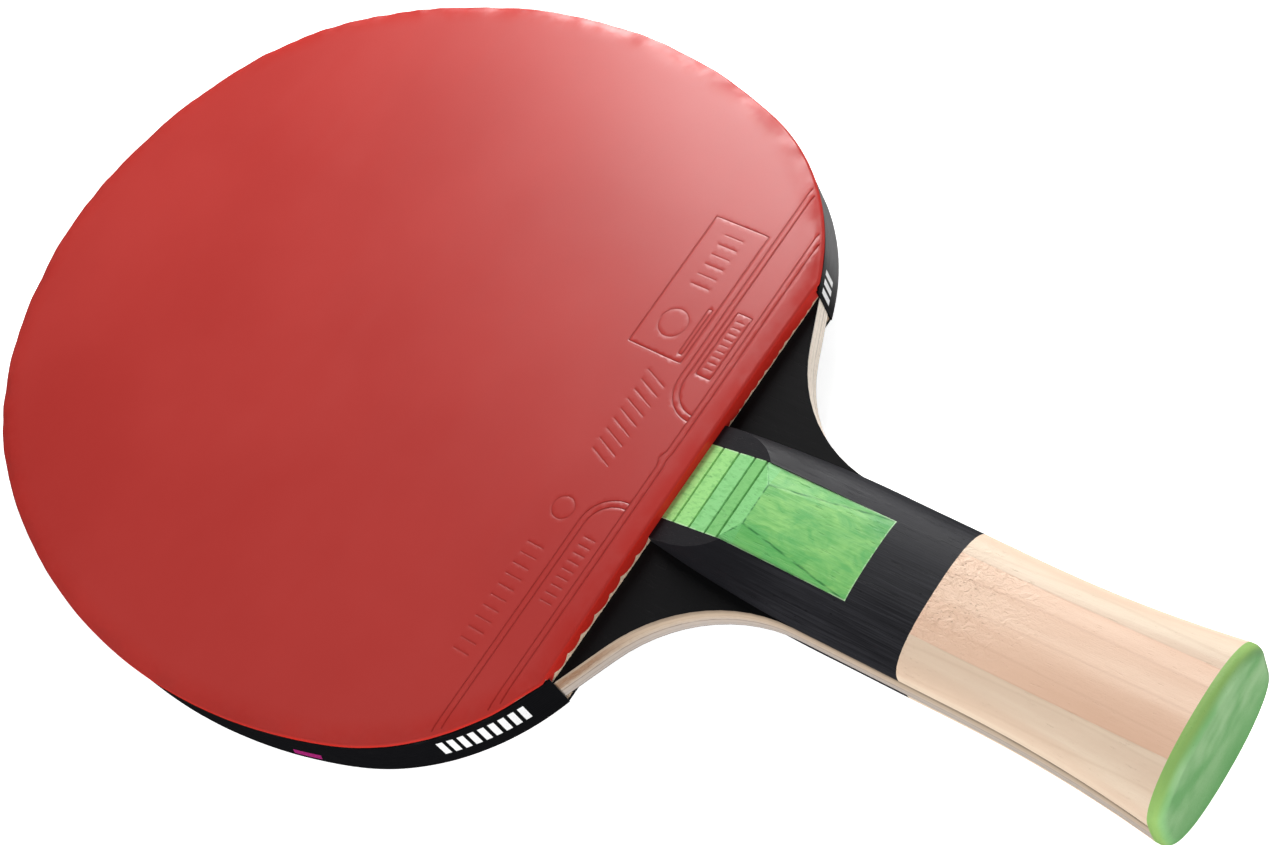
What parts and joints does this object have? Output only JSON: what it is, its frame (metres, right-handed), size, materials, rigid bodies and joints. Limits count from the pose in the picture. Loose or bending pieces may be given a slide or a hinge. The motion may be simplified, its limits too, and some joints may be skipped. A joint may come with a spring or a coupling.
{
  "type": "table tennis paddle",
  "caption": "Shakehand table tennis paddle with a plywood blade, a rubber sheet on each face, edge tape and a flared laminated handle.",
  "frame": {"origin": "middle of the flat end face of the butt, on the blade's mid-plane", "axes": "+Y from the butt to the tip of the head, +Z out of the red front face, +X to the right seen from the front with the handle down"},
  "size_m": [0.1528, 0.2566, 0.0236],
  "materials": {
    "dyed_veneer": "satin black-dyed veneer with fine open grain",
    "blade_wood": "sanded edge of thin plies",
    "blade_core": "sanded edge of a pale core ply",
    "sponge": "matt cream sponge with fine pores",
    "front_rubber": "smooth satin red rubber, lightly embossed, pimples inward",
    "back_rubber": "smooth satin black rubber, pimples inward",
    "edge_tape": "satin black tape",
    "dyed_wood": "satin black-dyed wood",
    "rose_wood": "satin pinkish wood with fine pores along the grain",
    "pale_wood": "satin pale wood with fine pores along the grain",
    "inlay": "satin green-stained wood with visible grain",
    "butt_cap": "semi-matt green lacquer over end grain"
  },
  "bodies": {
    "root": {"back_centre_dark": "dyed_wood", "back_centre_grip": "rose_wood", "back_cross_ply": "blade_wood", "back_face_ply": "dyed_veneer", "back_inlay": "inlay", "back_left_dark": "dyed_wood", "back_left_grip": "pale_wood", "back_right_dark": "dyed_wood", "back_right_grip": "pale_wood", "back_sponge": "sponge", "back_topsheet": "back_rubber", "butt_cap": "butt_cap", "core_ply": "blade_core", "edge_tape": "edge_tape", "front_centre_dark": "dyed_wood", "front_centre_grip": "rose_wood", "front_cross_ply": "blade_wood", "front_face_ply": "dyed_veneer", "front_inlay": "inlay", "front_left_dark": "dyed_wood", "front_left_grip": "pale_wood", "front_right_dark": "dyed_wood", "front_right_grip": "pale_wood", "front_sponge": "sponge", "front_topsheet": "front_rubber"}
  },
  "joints": []
}
